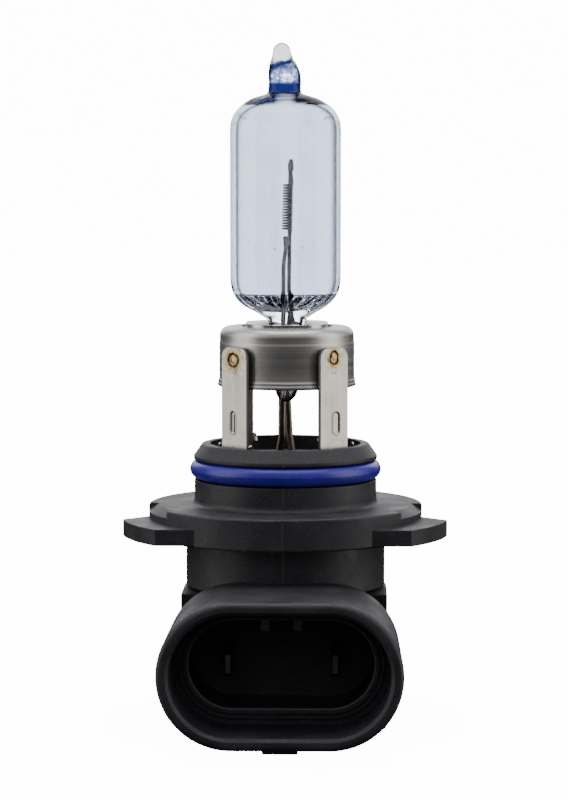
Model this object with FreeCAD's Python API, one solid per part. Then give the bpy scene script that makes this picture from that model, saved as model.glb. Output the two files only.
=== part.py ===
import FreeCAD, Part
import math
import os

# Right-angle halogen headlamp bulb: a single-coil quartz capsule held by a stamped
# steel frame in a moulded twist-lock base with a two-blade socket.
# Millimetres. +Z runs along the bulb's axis to the glass tip, the socket faces -Y,
# and the origin is on the axis, on the flange's seating face.

V = FreeCAD.Vector

# --- glass capsule -------------------------------------------------------------
GLASS_R = 5.93
GLASS_WALL = 0.7
GLASS_DOME_Z = 43.9
GLASS_DOME_BEND = 4.3
GLASS_FLOOR_Z = 22.2
GLASS_FLOOR_BEND = 3.4
GLASS_NECK_R = 3.0
GLASS_NECK_Z = 20.3
TIP_R = 1.73
# exhaust tip: (height, radius, lean to -X) of each section of the drawn-off tube
TIP_SECTIONS = [
    (43.4, TIP_R, 0.10),
    (45.9, TIP_R, 0.10),
    (46.8, 1.55, 0.20),
    (47.6, 1.13, 0.38),
    (48.4, 0.95, 0.40),
]
TIP_TOP_Z = 49.3
# pressed seal below the bulb: (height, thickness across X, width across Y); it and the
# steel parts sit MOUNT_SHIFT off the base's axis
PINCH_SECTIONS = [
    (22.0, 7.2, 9.4),
    (20.4, 5.5, 9.0),
    (19.1, 3.7, 8.6),
    (17.6, 2.8, 8.4),
    (12.4, 2.4, 8.2),
]
MOUNT_SHIFT = 0.15

# --- filament mount --------------------------------------------------------------
COIL_R = 0.53
COIL_WIRE_D = 0.15
COIL_TURNS = 17
COIL_PITCH = 0.29
COIL_BASE = V(0.18, 0.0, 29.35)
COIL_LEAN = 1.3
INNER_LEAD_D = 0.44
INNER_LEAD_BEND = 1.2
# the long lead stands behind the coil, the short one in front of it
LONG_LEAD_ROUTE = [
    V(0.33, 1.6, 15.8),
    V(0.33, 1.6, 22.0),
    V(0.47, 1.6, 34.3),
    V(0.52, 0.30, 35.7),
    V(0.60, 0.20, 36.9),
]
SHORT_LEAD_ROUTE = [
    V(-0.10, -1.6, 15.8),
    V(-0.18, -1.6, 22.0),
    V(-0.18, -1.6, 25.6),
    V(0.05, -0.42, 27.5),
    V(0.07, -0.36, 28.7),
]
CRIMP_X = 0.62
CRIMP_Y = 0.95
CRIMP_H = 0.85

# --- foils and outer leads ---------------------------------------------------------
FOIL_T = 0.06
FOIL_W = 1.8
FOIL_Z = (13.4, 16.6)
OUTER_LEAD_D = 0.84
OUTER_LEAD_BEND = 2.0
OUTER_LEAD_Y = 1.7
OUTER_LEAD_SPREAD = 0.34
OUTER_LEAD_TOP_Z = 13.9
LEAD_SPREAD_Z = 7.4
LEAD_END_Z = -10.8
WELD_POOL_X = 0.62
WELD_POOL_Y = 0.6

# --- steel collar, clip and frame ----------------------------------------------------
SHEET_T = 0.35
COLLAR_R = 7.25
COLLAR_Z = (12.7, 19.1)
COLLAR_SHOULDER = 0.9
COLLAR_STEP_Z = 17.4
COLLAR_LIP_R = 7.42
CLIP_HALF_X = 4.4
CLIP_HALF_Y = 5.4
CLIP_TONGUE_X = 2.0
CLIP_TONGUE_Z = 14.2
LEG_T = 0.42
LEG_W = 3.9
LEG_IN = COLLAR_LIP_R
LEG_TOP_Z = 17.1
LEG_CORNER = 1.1
LEG_TURN = -1.7
LEG_ANGLES = [-134.0, -42.5, 42.5, 141.0]
RING_Z = 4.6
RING_R = (6.95, 7.95)
SLOT_Z = (8.0, 10.35)
SLOT_W = 0.75
SLOT_DEPTH = 0.14
WELD_R = 0.68
WELD_H = 0.12
WELD_Z = 15.8

# --- moulded base ---------------------------------------------------------------------
NECK_TOP_Z = 6.5
NECK_TOP_R = 8.96
NECK_R = 9.88
NECK_LAND_R = 9.8
NECK_RIM_Z = 5.2
COUNTERBORE_R = 8.1
BORE_R = 6.6
BORE_FLOOR_Z = 1.0
GROOVE_R = 8.2
GROOVE_Z = (2.65, 4.85)
RING_SECTION_R = 1.05
FLANGE_R = 14.7
FLANGE_T = 3.4
SCOOP_ANGLES = (57.0, 88.0)
SCOOP_DEPTH = 0.75
SCOOP_WIDTH = 1.1
LUG_R = 17.55
LUG_Z = (-3.2, -1.5)
LUG_FRONT_Y = -11.4
LUG_INNER_X = 9.3
LUG_REAR_Y = -2.7
REAR_LUG_HALF_W = 3.6
BODY_R = 10.7
BODY_END_Z = -8.75
CORE_R = 10.05
CORE_END_Z = -22.4
CAVITY_R = 8.5
CAVITY_TOP_Z = -5.6
PASSAGE_X = 6.0
PASSAGE_Y = 2.9
PARTING_W = 0.16
PARTING_H = 0.07

# --- socket -----------------------------------------------------------------------------
SOCKET_Z = -14.35
SOCKET_FACE_Y = -26.0
SHROUD_ROOT_Y = -10.2
SHROUD_FACE = (24.8, 14.95)
SHROUD_ROOT = (24.4, 14.2)
MOUTH = (22.2, 12.3)
MOUTH_FLOOR_Y = -18.3
WELL = (19.0, 9.1)
WELL_FLOOR_Y = -11.3
LIP_OUTER = 0.55
LIP_INNER = 0.35
SOCKET_NECK_X = 8.4
SOCKET_NECK_Z = (-20.5, -7.95)
KEY_RIB_X = 1.67
KEY_RIB_W = 0.9
KEY_RIB_H = 1.1
STEP_RIDGES = (0.55, 1.05)
STEP_RIDGE_W = 0.22
STEP_RIDGE_H = 0.2
LATCH_W = 3.6
LATCH_H = 0.5
LATCH_Y = (-25.3, -21.8)

# --- terminals, seal and cover -------------------------------------------------------------
BLADE_X = 5.5
BLADE_T = 0.8
BLADE_H = 2.8
BLADE_TIP_H = 1.9
BLADE_TIP_L = 1.1
BLADE_TIP_Y = -18.3
BLADE_END_Y = 1.4
TAB_Y = (-1.4, 1.4)
TAB_TOP_Z = -8.0
COVER_R = 10.9
COVER_FRONT_Y = -7.0
COVER_IN_R = 10.12
COVER_TOP_Z = -8.95
COVER_FLOOR_Z = CORE_END_Z
COVER_END_Z = -23.5
COVER_WINDOW_X = 8.5
COVER_WINDOW_Z = -21.7


def cylinder(radius, z_low, z_high):
    return Part.makeCylinder(radius, z_high - z_low, V(0, 0, z_low))


def block(x_range, y_range, z_range):
    size = [high - low for low, high in (x_range, y_range, z_range)]
    return Part.makeBox(size[0], size[1], size[2], V(x_range[0], y_range[0], z_range[0]))


def rounded_edges(corners):
    """Edges of a closed outline; each corner is (point, radius), radius 0 is sharp."""
    spans = []
    count = len(corners)
    for index, (point, radius) in enumerate(corners):
        back = (corners[index - 1][0] - point).normalize()
        ahead = (corners[(index + 1) % count][0] - point).normalize()
        if radius == 0:
            spans.append((point, None, point))
            continue
        half_angle = back.getAngle(ahead) / 2
        reach = radius / math.tan(half_angle)
        middle = (back + ahead).normalize() * (radius / math.sin(half_angle) - radius)
        spans.append((point + back * reach, point + middle, point + ahead * reach))
    edges = []
    for index, (start, middle, end) in enumerate(spans):
        if middle is not None:
            edges.append(Part.Arc(start, middle, end).toShape())
        following = spans[(index + 1) % count][0]
        if (following - end).Length > 1e-6:
            edges.append(Part.makeLine(end, following))
    return edges


def turned(outline):
    """Solid of revolution about Z from (radius, height, corner radius) points."""
    corners = [(V(radius, 0, height), bend) for radius, height, bend in outline]
    face = Part.Face(Part.Wire(rounded_edges(corners)))
    return face.revolve(V(0, 0, 0), V(0, 0, 1), 360)


def plate(outline, z_low, z_high):
    """Flat plate from (x, y, corner radius) points."""
    corners = [(V(x, y, z_low), bend) for x, y, bend in outline]
    face = Part.Face(Part.Wire(rounded_edges(corners)))
    return face.extrude(V(0, 0, z_high - z_low))


def rectangle_wire(size_x, size_y, z, bend, centre_x=0.0):
    half_x = size_x / 2
    half_y = size_y / 2
    signs = [(-1, -1), (1, -1), (1, 1), (-1, 1)]
    corners = [(V(centre_x + sx * half_x, sy * half_y, z), bend) for sx, sy in signs]
    return Part.Wire(rounded_edges(corners))


def stadium_wire(size, y):
    """Upright outline with round ends in the plane Y = y, centred on the socket."""
    width, height = size
    bend = height / 2
    half = width / 2 - bend
    right = V(half, y, SOCKET_Z)
    left = V(-half, y, SOCKET_Z)
    up = V(0, 0, bend)
    side = V(bend, 0, 0)
    return Part.Wire([
        Part.makeLine(left + up, right + up),
        Part.Arc(right + up, right + side, right - up).toShape(),
        Part.makeLine(right - up, left - up),
        Part.Arc(left - up, left - side, left + up).toShape(),
    ])


def stadium_block(size, y_low, y_high):
    face = Part.Face(stadium_wire(size, y_low))
    return face.extrude(V(0, y_high - y_low, 0))


def rod(route, diameter, bend):
    """Round wire along straight runs joined by tangent arcs."""
    edges = []
    start = route[0]
    for index in range(1, len(route) - 1):
        corner = route[index]
        back = (route[index - 1] - corner).normalize()
        ahead = (route[index + 1] - corner).normalize()
        angle = back.getAngle(ahead)
        if math.pi - angle < 1e-4:
            continue
        reach = bend / math.tan(angle / 2)
        middle = (back + ahead).normalize() * (bend / math.sin(angle / 2) - bend)
        edges.append(Part.makeLine(start, corner + back * reach))
        edges.append(Part.Arc(corner + back * reach, corner + middle, corner + ahead * reach).toShape())
        start = corner + ahead * reach
    edges.append(Part.makeLine(start, route[-1]))
    section = Part.Wire(Part.makeCircle(diameter / 2, route[0], route[1] - route[0]))
    return Part.Wire(edges).makePipeShell([section], True, False)


def save(name, shape):
    shape.exportStep("parts/" + name + ".step")
    state = "ok" if shape.isValid() else "NOT VALID"
    print(f"{name:22s} solids {len(shape.Solids):2d}  volume {shape.Volume:10.3f}  {state}")


def inner_leads():
    long_lead = rod(LONG_LEAD_ROUTE, INNER_LEAD_D, INNER_LEAD_BEND)
    short_lead = rod(SHORT_LEAD_ROUTE, INNER_LEAD_D, INNER_LEAD_BEND)
    return long_lead, short_lead


def filament_coil():
    """Single tungsten coil with a straight tail at each end, leaning a little to +X."""
    height = COIL_TURNS * COIL_PITCH
    helix = Part.makeHelix(COIL_PITCH, height, COIL_R)
    first = V(COIL_R, 0, 0)
    heading = V(0, COIL_R, COIL_PITCH / (2 * math.pi))
    section = Part.Wire(Part.makeCircle(COIL_WIRE_D / 2, first, heading))
    coil = Part.Wire(helix).makePipeShell([section], True, True)
    coil.rotate(V(0, 0, 0), V(0, 1, 0), COIL_LEAN)
    coil.translate(COIL_BASE)
    return coil


def coil_tails():
    """The two straight ends of the coil's wire, each running into its crimp."""
    lean = math.radians(COIL_LEAN)
    height = COIL_TURNS * COIL_PITCH
    low_start = COIL_BASE + V(COIL_R, 0, 0)
    high_start = COIL_BASE + V(COIL_R + height * math.sin(lean), 0, height * math.cos(lean))
    low_end = V(0.07, -0.06, 28.0)
    high_end = V(0.56, -0.10, 36.3)
    tails = []
    for start, end in ((low_start, low_end), (high_start, high_end)):
        tails.append(Part.makeCylinder(COIL_WIRE_D / 2, (end - start).Length, start, end - start))
    return tails


def crimp(centre, lead, tail):
    """Folded strip closed over a lead and the coil's tail."""
    half_x = CRIMP_X / 2
    half_y = CRIMP_Y / 2
    outline = []
    for sx, sy in ((-1, -1), (1, -1), (1, 1), (-1, 1)):
        outline.append((centre.x + sx * half_x, centre.y + sy * half_y, 0.28))
    body = plate(outline, centre.z - CRIMP_H / 2, centre.z + CRIMP_H / 2)
    return body.cut(lead).cut(tail)


def seal_foil(lead_x, side):
    """Molybdenum strip in the pinch, lying against the outer side of its leads."""
    low, high = FOIL_Z
    x_low = lead_x + INNER_LEAD_D / 2
    centre_y = side * 1.65
    return block((x_low, x_low + FOIL_T), (centre_y - FOIL_W / 2, centre_y + FOIL_W / 2), (low, high))


def outer_lead(side, foil_x):
    """Thick lead from a foil down through the neck to a terminal tab."""
    y = side * OUTER_LEAD_Y
    x_sign = side
    radius = OUTER_LEAD_D / 2
    x_top = foil_x - radius
    x_weld = x_sign * (BLADE_X - BLADE_T / 2 - radius)
    route = [
        V(x_top, y, OUTER_LEAD_TOP_Z),
        V(x_top, y, 11.4),
        V(x_sign * OUTER_LEAD_SPREAD, y, LEAD_SPREAD_Z),
        V(x_sign * 1.1, side * 1.5, 2.6),
        V(x_weld, side * 0.4, -5.0),
        V(x_weld, 0, LEAD_END_Z),
    ]
    return rod(route, OUTER_LEAD_D, OUTER_LEAD_BEND)


def glass_capsule(sealed):
    outside = turned([
        (0, GLASS_NECK_Z, 0),
        (GLASS_NECK_R, GLASS_NECK_Z, 0),
        (GLASS_R, GLASS_FLOOR_Z, GLASS_FLOOR_BEND),
        (GLASS_R, GLASS_DOME_Z, GLASS_DOME_BEND),
        (0, GLASS_DOME_Z + 0.1, 0),
    ])
    tip_wires = []
    for z, radius, lean in TIP_SECTIONS:
        tip_wires.append(Part.Wire(Part.makeCircle(radius, V(-lean, 0, z))))
    tip = Part.makeLoft(tip_wires, True, True)
    last_z, last_r, last_lean = TIP_SECTIONS[-1]
    round_end = Part.makeSphere(last_r, V(-last_lean, 0, TIP_TOP_Z - last_r))
    pinch_wires = []
    for z, thickness, width in PINCH_SECTIONS:
        pinch_wires.append(rectangle_wire(thickness, width, z, 0.5, MOUNT_SHIFT))
    pinch = Part.makeLoft(pinch_wires, True, True)
    last_z, last_thickness, last_width = PINCH_SECTIONS[-1]
    bead_r = last_thickness / 2
    bead = Part.makeCylinder(bead_r, last_width - 1.0, V(MOUNT_SHIFT, 0.5 - last_width / 2, last_z), V(0, 1, 0))
    cavity = turned([
        (0, GLASS_NECK_Z + 0.7, 0),
        (1.6, GLASS_NECK_Z + 0.7, 0),
        (GLASS_R - GLASS_WALL, GLASS_FLOOR_Z + 0.4, 1.4),
        (GLASS_R - GLASS_WALL, GLASS_DOME_Z - GLASS_WALL, GLASS_DOME_BEND - GLASS_WALL),
        (0, GLASS_DOME_Z - GLASS_WALL + 0.1, 0),
    ])
    glass = outside.fuse([tip, round_end, pinch, bead]).cut(cavity)
    for piece in sealed:
        glass = glass.cut(piece)
    return glass


def retaining_collar():
    """Deep-drawn steel cup over the pinch, with a rolled shoulder and a flared hem."""
    low, high = COLLAR_Z
    inner = COLLAR_R - SHEET_T
    cup = turned([
        (4.0, high, 0),
        (COLLAR_R - 0.12, high, COLLAR_SHOULDER),
        (COLLAR_R - 0.12, COLLAR_STEP_Z, 0),
        (COLLAR_R, COLLAR_STEP_Z - 0.1, 0),
        (COLLAR_R, low + 0.75, 0),
        (COLLAR_LIP_R, low + 0.4, 0.2),
        (COLLAR_LIP_R, low, 0.1),
        (inner, low, 0),
        (inner, high - SHEET_T, COLLAR_SHOULDER - SHEET_T),
        (4.0, high - SHEET_T, 0),
    ])
    window = block((-2.35, 2.35), (-4.8, 4.8), (high - 1.0, high + 1.0))
    cup = cup.cut(window)
    cup.translate(V(MOUNT_SHIFT, 0, 0))
    return cup


def pinch_clip(glass):
    """Sprung plate on the collar, with two tongues turned down along the pinch."""
    low = COLLAR_Z[1]
    outline = []
    for sx, sy in ((-1, -1), (1, -1), (1, 1), (-1, 1)):
        outline.append((MOUNT_SHIFT + sx * CLIP_HALF_X, sy * CLIP_HALF_Y, 3.6))
    dish = plate(outline, low, low + SHEET_T)
    slot_x = (MOUNT_SHIFT - CLIP_TONGUE_X, MOUNT_SHIFT + CLIP_TONGUE_X)
    dish = dish.cut(block(slot_x, (-4.45, 4.45), (low - 1, low + 1)))
    clip = dish
    for side in (-1, 1):
        inner = MOUNT_SHIFT + side * (CLIP_TONGUE_X - 0.02)
        outer = MOUNT_SHIFT + side * (CLIP_TONGUE_X + SHEET_T - 0.02)
        tongue = block(sorted((inner, outer)), (-2.6, 2.6), (CLIP_TONGUE_Z, low + SHEET_T))
        clip = clip.fuse(tongue)
    return clip.cut(glass)


def leg(angle):
    """One upright strip of the frame; angle is about Z, from the front (-Y)."""
    half = LEG_W / 2
    corners = [
        (V(-half, -LEG_IN, LEG_TOP_Z), LEG_CORNER),
        (V(half, -LEG_IN, LEG_TOP_Z), LEG_CORNER),
        (V(half, -LEG_IN, RING_Z), 0),
        (V(-half, -LEG_IN, RING_Z), 0),
    ]
    strip = Part.Face(Part.Wire(rounded_edges(corners))).extrude(V(0, -LEG_T, 0))
    face_y = -LEG_IN - LEG_T
    slot = block((-SLOT_W / 2, SLOT_W / 2), (face_y - 1, face_y + SLOT_DEPTH), SLOT_Z)
    strip = strip.cut(slot)
    strip.rotate(V(0, 0, 0), V(0, 0, 1), angle + LEG_TURN)
    strip.translate(V(MOUNT_SHIFT, 0, 0))
    return strip


def support_frame(collar):
    """Stamped frame: a ring seated in the neck and four legs bent up to the collar."""
    ring = cylinder(RING_R[1], RING_Z, RING_Z + LEG_T).cut(cylinder(RING_R[0], RING_Z - 1, RING_Z + 2))
    legs = [leg(angle) for angle in LEG_ANGLES]
    feet_trim = cylinder(20, RING_Z - 1, NECK_TOP_Z + 0.2).cut(cylinder(RING_R[1], RING_Z - 2, NECK_TOP_Z + 1))
    frame = ring
    for upright in legs:
        frame = frame.fuse(upright.cut(feet_trim))
    return frame.removeSplitter().cut(collar)


def leg_welds():
    """Spot-weld nuggets, one on the outer face of each leg."""
    nuggets = []
    for angle in LEG_ANGLES:
        face_y = -LEG_IN - LEG_T
        nugget = Part.makeCone(WELD_R, WELD_R * 0.7, WELD_H, V(0, face_y, WELD_Z), V(0, -1, 0))
        nugget.rotate(V(0, 0, 0), V(0, 0, 1), angle + LEG_TURN)
        nugget.translate(V(MOUNT_SHIFT, 0, 0))
        nuggets.append(nugget)
    return Part.makeCompound(nuggets)


def seal_ring():
    middle_z = sum(GROOVE_Z) / 2
    return Part.makeTorus(GROOVE_R + RING_SECTION_R, RING_SECTION_R, V(0, 0, middle_z))


def side_lug(side):
    """Twist-lock lug with a straight leading face and an arc for its outer edge."""
    tip_x = math.sqrt(LUG_R ** 2 - LUG_FRONT_Y ** 2)
    heel_x = math.sqrt(LUG_R ** 2 - LUG_REAR_Y ** 2)
    middle_angle = (math.atan2(LUG_FRONT_Y, tip_x) + math.atan2(LUG_REAR_Y, heel_x)) / 2
    z = LUG_Z[0]
    points = [
        V(side * LUG_INNER_X, LUG_FRONT_Y, z),
        V(side * tip_x, LUG_FRONT_Y, z),
        V(side * LUG_R * math.cos(middle_angle), LUG_R * math.sin(middle_angle), z),
        V(side * heel_x, LUG_REAR_Y, z),
        V(side * FLANGE_R, 0, z),
        V(side * LUG_INNER_X, 0, z),
    ]
    outline = Part.Wire([
        Part.makeLine(points[0], points[1]),
        Part.Arc(points[1], points[2], points[3]).toShape(),
        Part.makeLine(points[3], points[4]),
        Part.makeLine(points[4], points[5]),
        Part.makeLine(points[5], points[0]),
    ])
    return Part.Face(outline).extrude(V(0, 0, LUG_Z[1] - LUG_Z[0]))


def rear_lug():
    lug = cylinder(LUG_R, LUG_Z[0], LUG_Z[1])
    return lug.common(block((-REAR_LUG_HALF_W, REAR_LUG_HALF_W), (10, 20), LUG_Z))


def flange_scoop(side):
    """Cutter for the bevelled stretch of the flange's rim above a side lug."""
    bevel = turned([
        (FLANGE_R - SCOOP_WIDTH, 0.3, 0),
        (FLANGE_R + 1, 0.3, 0),
        (FLANGE_R + 1, -SCOOP_DEPTH - 0.6, 0),
        (FLANGE_R, -SCOOP_DEPTH, 0),
        (FLANGE_R - SCOOP_WIDTH, 0, 0),
    ])
    start, end = [math.radians(angle) for angle in SCOOP_ANGLES]
    reach = 30
    corners = [
        V(0, 0, -2),
        V(side * reach * math.sin(start), -reach * math.cos(start), -2),
        V(side * reach * math.sin(end), -reach * math.cos(end), -2),
        V(0, 0, -2),
    ]
    wedge = Part.Face(Part.makePolygon(corners)).extrude(V(0, 0, 4))
    return bevel.common(wedge)


def turned_base():
    """Neck, seal groove, flange, body and the round core inside the rear cover."""
    base = turned([
        (0, NECK_TOP_Z, 0),
        (NECK_TOP_R, NECK_TOP_Z, 0.15),
        (NECK_R, NECK_RIM_Z, 0.2),
        (NECK_R, GROOVE_Z[1], 0.08),
        (GROOVE_R, GROOVE_Z[1], 0),
        (GROOVE_R, GROOVE_Z[0], 0),
        (NECK_LAND_R, GROOVE_Z[0], 0.12),
        (NECK_LAND_R, 0, 0.6),
        (FLANGE_R, 0, 0.22),
        (FLANGE_R, -FLANGE_T, 0.2),
        (BODY_R, -FLANGE_T, 0.3),
        (BODY_R, BODY_END_Z, 0.12),
        (CORE_R, BODY_END_Z, 0),
        (CORE_R, CORE_END_Z, 0),
        (0, CORE_END_Z, 0),
    ])
    for side in (-1, 1):
        base = base.cut(flange_scoop(side))
        base = base.fuse(side_lug(side))
    return base.fuse(rear_lug())


def shroud():
    """Socket wall: an oval horn with a rounded lip, joined to the body by a short neck."""
    face_wire = stadium_wire(SHROUD_FACE, SOCKET_FACE_Y)
    root_wire = stadium_wire(SHROUD_ROOT, SHROUD_ROOT_Y)
    horn = Part.makeLoft([face_wire, root_wire], True, True)
    lip_edges = [edge for edge in horn.Edges if edge.BoundBox.YMax < SOCKET_FACE_Y + 0.01]
    horn = horn.makeFillet(LIP_OUTER, lip_edges)
    neck_x = (-SOCKET_NECK_X, SOCKET_NECK_X)
    neck = block(neck_x, (SHROUD_ROOT_Y - 0.5, 0), SOCKET_NECK_Z)
    neck_edges = [edge for edge in neck.Edges if edge.BoundBox.YLength > 5]
    neck = neck.makeFillet(1.6, neck_edges)
    latch = block((-LATCH_W / 2, LATCH_W / 2), LATCH_Y, (SOCKET_Z - SHROUD_FACE[1] / 2 - LATCH_H + 0.1, SOCKET_Z - 5))
    latch_edges = [edge for edge in latch.Edges if edge.BoundBox.ZMax < SOCKET_Z - 7]
    latch = latch.makeFillet(0.25, latch_edges)
    return horn.fuse(neck).fuse(latch)


def socket_cavity():
    """Cutter for the socket: a wide mouth, then a step down to the blades' well."""
    mouth = stadium_block(MOUTH, SOCKET_FACE_Y, MOUTH_FLOOR_Y)
    flare = (MOUTH[0] + 2 * LIP_INNER, MOUTH[1] + 2 * LIP_INNER)
    lead_in = Part.makeLoft([
        stadium_wire(flare, SOCKET_FACE_Y - 0.001),
        stadium_wire(MOUTH, SOCKET_FACE_Y + LIP_INNER),
    ], True, True)
    well = stadium_block(WELL, MOUTH_FLOOR_Y - 0.5, WELL_FLOOR_Y)
    return mouth.fuse(lead_in).fuse(well)


def socket_details():
    """Two keying ribs in the well's roof and low ridges on the step's face."""
    details = []
    roof = SOCKET_Z + WELL[1] / 2
    for side in (-1, 1):
        x_range = (side * KEY_RIB_X - KEY_RIB_W / 2, side * KEY_RIB_X + KEY_RIB_W / 2)
        details.append(block(x_range, (MOUTH_FLOOR_Y, WELL_FLOOR_Y + 0.2), (roof - KEY_RIB_H, roof + 0.4)))
    for offset in STEP_RIDGES:
        outer = (MOUTH[0] - 2 * offset, MOUTH[1] - 2 * offset)
        inner = (outer[0] - 2 * STEP_RIDGE_W, outer[1] - 2 * STEP_RIDGE_W)
        y_low = MOUTH_FLOOR_Y - STEP_RIDGE_H
        ridge = stadium_block(outer, y_low, MOUTH_FLOOR_Y + 0.2)
        details.append(ridge.cut(stadium_block(inner, y_low - 1, MOUTH_FLOOR_Y + 1)))
    return details


def parting_line():
    """Fine ridge that the two mould halves leave down the front."""
    half = PARTING_W / 2
    stretches = [
        (NECK_R, NECK_RIM_Z - 0.2, GROOVE_Z[1]),
        (NECK_LAND_R, GROOVE_Z[0], -0.2),
        (FLANGE_R, -0.1, -FLANGE_T + 0.1),
        (BODY_R, -FLANGE_T, -7.9),
    ]
    ridges = []
    for radius, z_high, z_low in stretches:
        ridges.append(block((-half, half), (-radius - PARTING_H, -radius + 0.4), (z_low, z_high)))
    return ridges


def base_housing(terminals):
    housing = turned_base().fuse(shroud())
    housing = housing.fuse(parting_line())
    housing = housing.cut(cylinder(COUNTERBORE_R, RING_Z, NECK_TOP_Z + 1))
    housing = housing.cut(cylinder(BORE_R, BORE_FLOOR_Z, NECK_TOP_Z + 1))
    passage = Part.Face(rectangle_wire(2 * PASSAGE_X, 2 * PASSAGE_Y, CAVITY_TOP_Z - 1, 2.0))
    housing = housing.cut(passage.extrude(V(0, 0, BORE_FLOOR_Z + 2 - CAVITY_TOP_Z)))
    housing = housing.cut(cylinder(CAVITY_R, CORE_END_Z - 1, CAVITY_TOP_Z))
    housing = housing.cut(socket_cavity())
    housing = housing.fuse(socket_details())
    housing = housing.removeSplitter()
    for piece in terminals:
        housing = housing.cut(piece)
    return housing


def lead_seal(leads):
    """Cast sealing compound that closes the passage around the two leads."""
    passage = Part.Face(rectangle_wire(2 * PASSAGE_X, 2 * PASSAGE_Y, -3.4, 2.0))
    seal = passage.extrude(V(0, 0, BORE_FLOOR_Z + 3.4))
    for lead in leads:
        seal = seal.cut(lead)
    return seal


def terminal(side):
    """Flat tab: a tapered blade in the socket and a weld tab turned up in the body."""
    mid_z = SOCKET_Z
    half_h = BLADE_H / 2
    half_tip = BLADE_TIP_H / 2
    outline = [
        (V(0, BLADE_TIP_Y, mid_z - half_tip), 0),
        (V(0, BLADE_TIP_Y + BLADE_TIP_L, mid_z - half_h), 0),
        (V(0, BLADE_END_Y, mid_z - half_h), 0.5),
        (V(0, BLADE_END_Y, TAB_TOP_Z), 0.5),
        (V(0, TAB_Y[0], TAB_TOP_Z), 0.5),
        (V(0, TAB_Y[0], mid_z + half_h), 0.8),
        (V(0, BLADE_TIP_Y + BLADE_TIP_L, mid_z + half_h), 0),
        (V(0, BLADE_TIP_Y, mid_z + half_tip), 0),
    ]
    blade = Part.Face(Part.Wire(rounded_edges(outline))).extrude(V(BLADE_T, 0, 0))
    tip_edges = []
    for edge in blade.Edges:
        if edge.BoundBox.YMax < BLADE_TIP_Y + 0.01 and edge.BoundBox.ZLength > 1:
            tip_edges.append(edge)
    blade = blade.makeChamfer(0.15, tip_edges)
    blade.translate(V(side * BLADE_X - BLADE_T / 2, 0, 0))
    return blade


def terminal_welds(leads):
    """Two weld pools, each wrapping the lower end of a lead against its tab."""
    pools = []
    tab_face = BLADE_X - BLADE_T / 2
    for side, lead in zip((-1, 1), leads):
        x_range = sorted((side * tab_face, side * (tab_face - WELD_POOL_X)))
        pool = block(x_range, (-WELD_POOL_Y, WELD_POOL_Y), (LEAD_END_Z - 0.35, LEAD_END_Z + 0.75))
        upright = [edge for edge in pool.Edges if edge.BoundBox.ZLength > 1]
        inner = [edge for edge in upright if abs(edge.CenterOfMass.x) < tab_face - 0.1]
        pools.append(pool.makeFillet(0.2, inner).cut(lead))
    return Part.makeCompound(pools)


def rear_cover():
    """Snap-on cap around the lower body: flat flanks, round back, a front window for the socket."""
    r = COVER_R
    outline = Part.Wire([
        Part.makeLine(V(-r, COVER_FRONT_Y, COVER_END_Z), V(r, COVER_FRONT_Y, COVER_END_Z)),
        Part.makeLine(V(r, COVER_FRONT_Y, COVER_END_Z), V(r, 0, COVER_END_Z)),
        Part.Arc(V(r, 0, COVER_END_Z), V(0, r, COVER_END_Z), V(-r, 0, COVER_END_Z)).toShape(),
        Part.makeLine(V(-r, 0, COVER_END_Z), V(-r, COVER_FRONT_Y, COVER_END_Z)),
    ])
    shell = Part.Face(outline).extrude(V(0, 0, COVER_TOP_Z - COVER_END_Z))
    shell = shell.fuse(cylinder(r, COVER_END_Z, COVER_WINDOW_Z)).removeSplitter()
    bottom_edges = [edge for edge in shell.Edges if edge.BoundBox.ZMax < COVER_END_Z + 0.01]
    shell = shell.makeFillet(0.7, bottom_edges)
    shell = shell.cut(cylinder(COVER_IN_R, COVER_FLOOR_Z, 0))
    window = block((-COVER_WINDOW_X, COVER_WINDOW_X), (-20, 0), (COVER_WINDOW_Z, 0))
    spigot = cylinder(CAVITY_R - 0.1, COVER_FLOOR_Z, COVER_FLOOR_Z + 1.5)
    spigot = spigot.cut(cylinder(CAVITY_R - 1.1, COVER_FLOOR_Z - 1, COVER_FLOOR_Z + 3))
    return shell.cut(window).fuse(spigot)


def main():
    os.makedirs("parts", exist_ok=True)
    long_lead, short_lead = inner_leads()
    low_tail, high_tail = coil_tails()
    coil = filament_coil()
    lower = crimp(V(0.07, -0.22, 28.25), short_lead, low_tail)
    upper = crimp(V(0.56, 0.08, 36.1), long_lead, high_tail)
    rear_foil = seal_foil(LONG_LEAD_ROUTE[0].x, 1)
    front_foil = seal_foil(SHORT_LEAD_ROUTE[0].x, -1)
    rear_lead = outer_lead(1, LONG_LEAD_ROUTE[0].x + INNER_LEAD_D / 2)
    front_lead = outer_lead(-1, SHORT_LEAD_ROUTE[0].x + INNER_LEAD_D / 2)
    sealed = [long_lead, short_lead, rear_foil, front_foil, rear_lead, front_lead]
    glass = glass_capsule(sealed)
    terminals = [terminal(-1), terminal(1)]
    outer_leads = [front_lead, rear_lead]
    seal = lead_seal(outer_leads)
    collar = retaining_collar()

    save("glass_capsule", glass)
    save("filament_coil", coil.fuse([low_tail, high_tail]))
    save("lower_filament_crimp", lower)
    save("upper_filament_crimp", upper)
    save("long_inner_lead", long_lead)
    save("short_inner_lead", short_lead)
    save("rear_seal_foil", rear_foil)
    save("front_seal_foil", front_foil)
    save("rear_outer_lead", rear_lead)
    save("front_outer_lead", front_lead)
    save("retaining_collar", collar)
    save("pinch_clip", pinch_clip(glass))
    save("support_frame", support_frame(collar))
    save("leg_welds", leg_welds())
    save("seal_ring", seal_ring())
    save("base_housing", base_housing(terminals))
    save("lead_seal", seal)
    save("left_terminal", terminals[0])
    save("right_terminal", terminals[1])
    save("terminal_welds", terminal_welds(outer_leads))
    save("rear_cover", rear_cover())


main()
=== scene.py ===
import math

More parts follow.
